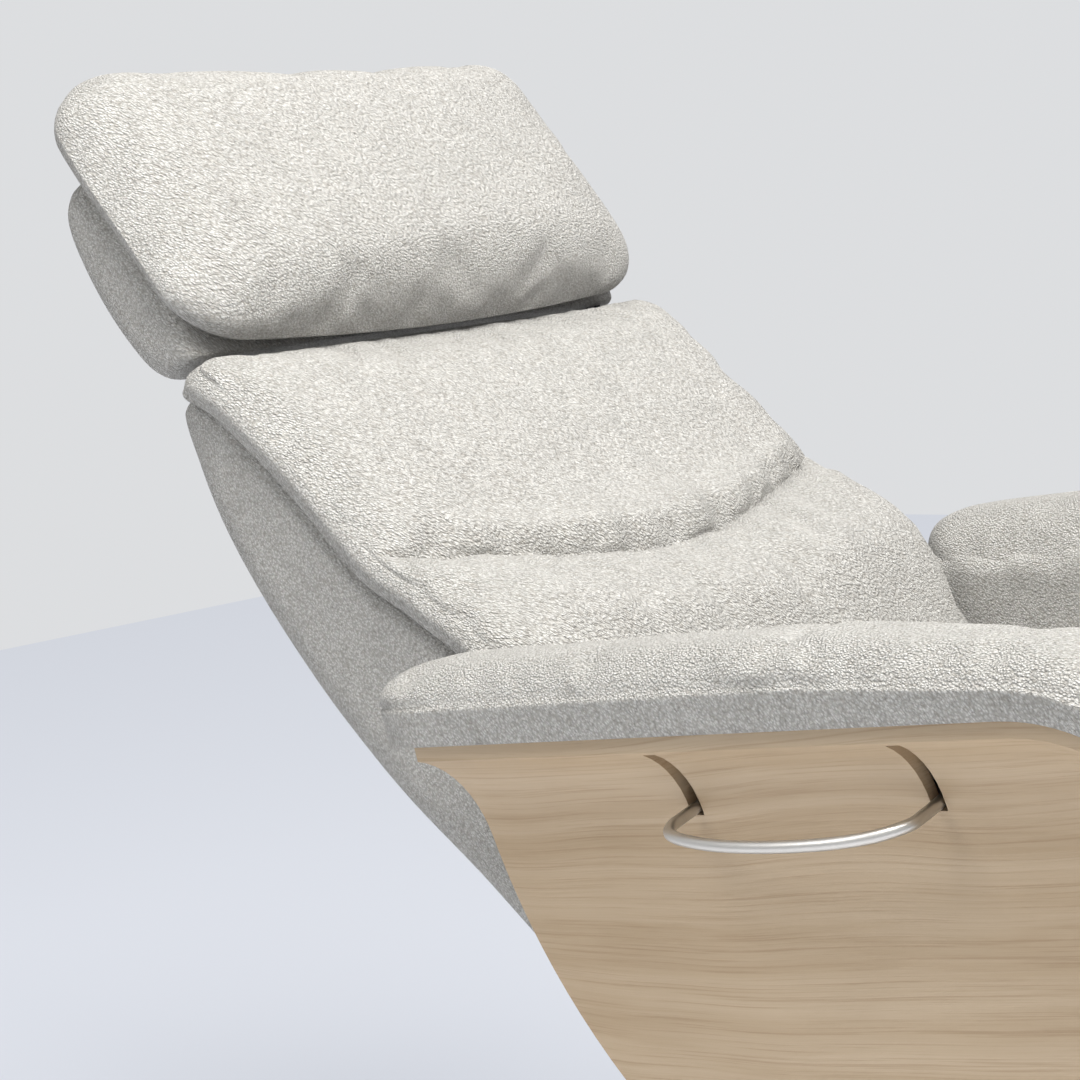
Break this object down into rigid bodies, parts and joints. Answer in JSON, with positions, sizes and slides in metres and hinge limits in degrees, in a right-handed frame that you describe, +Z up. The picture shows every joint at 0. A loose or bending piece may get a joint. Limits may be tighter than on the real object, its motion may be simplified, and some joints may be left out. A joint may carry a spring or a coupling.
{
  "type": "recliner",
  "caption": "Reclining swivel armchair with moulded oak side shells, padded arms, adjustable headrest and a wire release handle",
  "frame": {"origin": "on the floor, under the swivel axis at the middle of the base", "axes": "+Z up along the swivel axis; -Y is where the seat faces; +X is the sitter's left"},
  "size_m": [0.7219, 1.0003, 0.985],
  "materials": {
    "upholstery": "light warm grey melange wool weave over foam",
    "oak": "moulded oak shell, pale matt lacquer",
    "frame_timber": "plain planed beech and birch plywood",
    "handle_steel": "brushed stainless wire",
    "bright_steel": "bright zinc plated",
    "black_steel": "satin black powder coat",
    "aluminium": "brushed aluminium casting",
    "nylon": "natural nylon",
    "glide_rubber": "hard black plastic glides",
    "webbing": "black elastic seat webbing",
    "cable_sheath": "black cable sheath"
  },
  "bodies": {
    "base": {"star_base": "aluminium", "floor_glides": "glide_rubber", "column_tube": "aluminium", "lower_bush": "nylon", "upper_bush": "nylon", "thrust_washer": "nylon"},
    "seat_body": {"swivel_spindle": "bright_steel", "spindle_clip": "black_steel", "swivel_plate": "black_steel", "plate_bolts": "bright_steel", "beam_right": "black_steel", "beam_left": "black_steel", "side_rail_right": "frame_timber", "side_rail_left": "frame_timber", "front_rail": "frame_timber", "rear_rail": "frame_timber", "seat_straps": "webbing", "seat_cushion": "upholstery", "front_apron": "upholstery", "cleat_right": "frame_timber", "cleat_left": "frame_timber", "frame_bolts": "bright_steel", "side_panel_right": "oak", "side_panel_left": "oak", "side_lining_right": "upholstery", "side_lining_left": "upholstery", "arm_rail_right": "frame_timber", "arm_rail_left": "frame_timber", "arm_pad_right": "upholstery", "arm_pad_left": "upholstery", "pivot_bracket_right": "black_steel", "pivot_bracket_left": "black_steel", "pivot_pin_right": "bright_steel", "pivot_pin_left": "bright_steel", "bracket_bolts": "bright_steel", "handle_bearings": "nylon", "cable_stops": "black_steel", "release_cable": "cable_sheath", "gas_anchor_pin": "bright_steel"},
    "handle": {"handle_bail": "handle_steel", "handle_shaft": "handle_steel", "cable_quadrant": "black_steel"},
    "gas_cylinder": {"gas_cylinder": "black_steel"},
    "gas_rod": {"gas_rod": "bright_steel"},
    "backrest": {"back_upright_right": "black_steel", "back_upright_left": "black_steel", "back_lower_tube": "black_steel", "back_upper_tube": "black_steel", "recline_lever": "black_steel", "back_board": "frame_timber", "back_shell": "upholstery", "back_cushion": "upholstery", "tilt_pin_right": "bright_steel", "tilt_pin_left": "bright_steel"},
    "headrest": {"head_arm_right": "black_steel", "head_arm_left": "black_steel", "head_crossbar": "black_steel", "head_board": "frame_timber", "head_shell": "upholstery", "headrest_cushion": "upholstery"}
  },
  "joints": [
    {"name": "swivel", "type": "hinge", "parent": "base", "child": "seat_body", "pos_m": [0, 0, 0], "axis": [0, 0, 1], "continuous": true},
    {"name": "recline", "type": "hinge", "parent": "seat_body", "child": "backrest", "pos_m": [0, 0.165, 0.44], "axis": [1, 0, 0], "range_deg": [0, 38]},
    {"name": "headrest_tilt", "type": "hinge", "parent": "backrest", "child": "headrest", "pos_m": [0, 0.53, 0.772], "axis": [1, 0, 0], "range_deg": [-20, 5]},
    {"name": "handle_lift", "type": "hinge", "parent": "seat_body", "child": "handle", "pos_m": [-0.2895, -0.0384, 0.5318], "axis": [0, 0.9934, -0.1149], "range_deg": [0, 36], "stiffness_Nm_per_rad": 0.6, "springref_deg": -20.05},
    {"name": "gas_swing", "type": "hinge", "parent": "seat_body", "child": "gas_cylinder", "pos_m": [0, -0.11, 0.288], "axis": [1, 0, 0], "range_deg": [0, 2.2]},
    {"name": "gas_stroke", "type": "slide", "parent": "gas_cylinder", "child": "gas_rod", "axis": [0, 0.9989, 0.0461], "range_m": [0, 0.092]}
  ],
  "couplings": [
    {"joint": "gas_swing", "follows": "recline", "ratio": 0.05},
    {"joint": "gas_stroke", "follows": "recline", "m_per_rad": 0.1378}
  ]
}
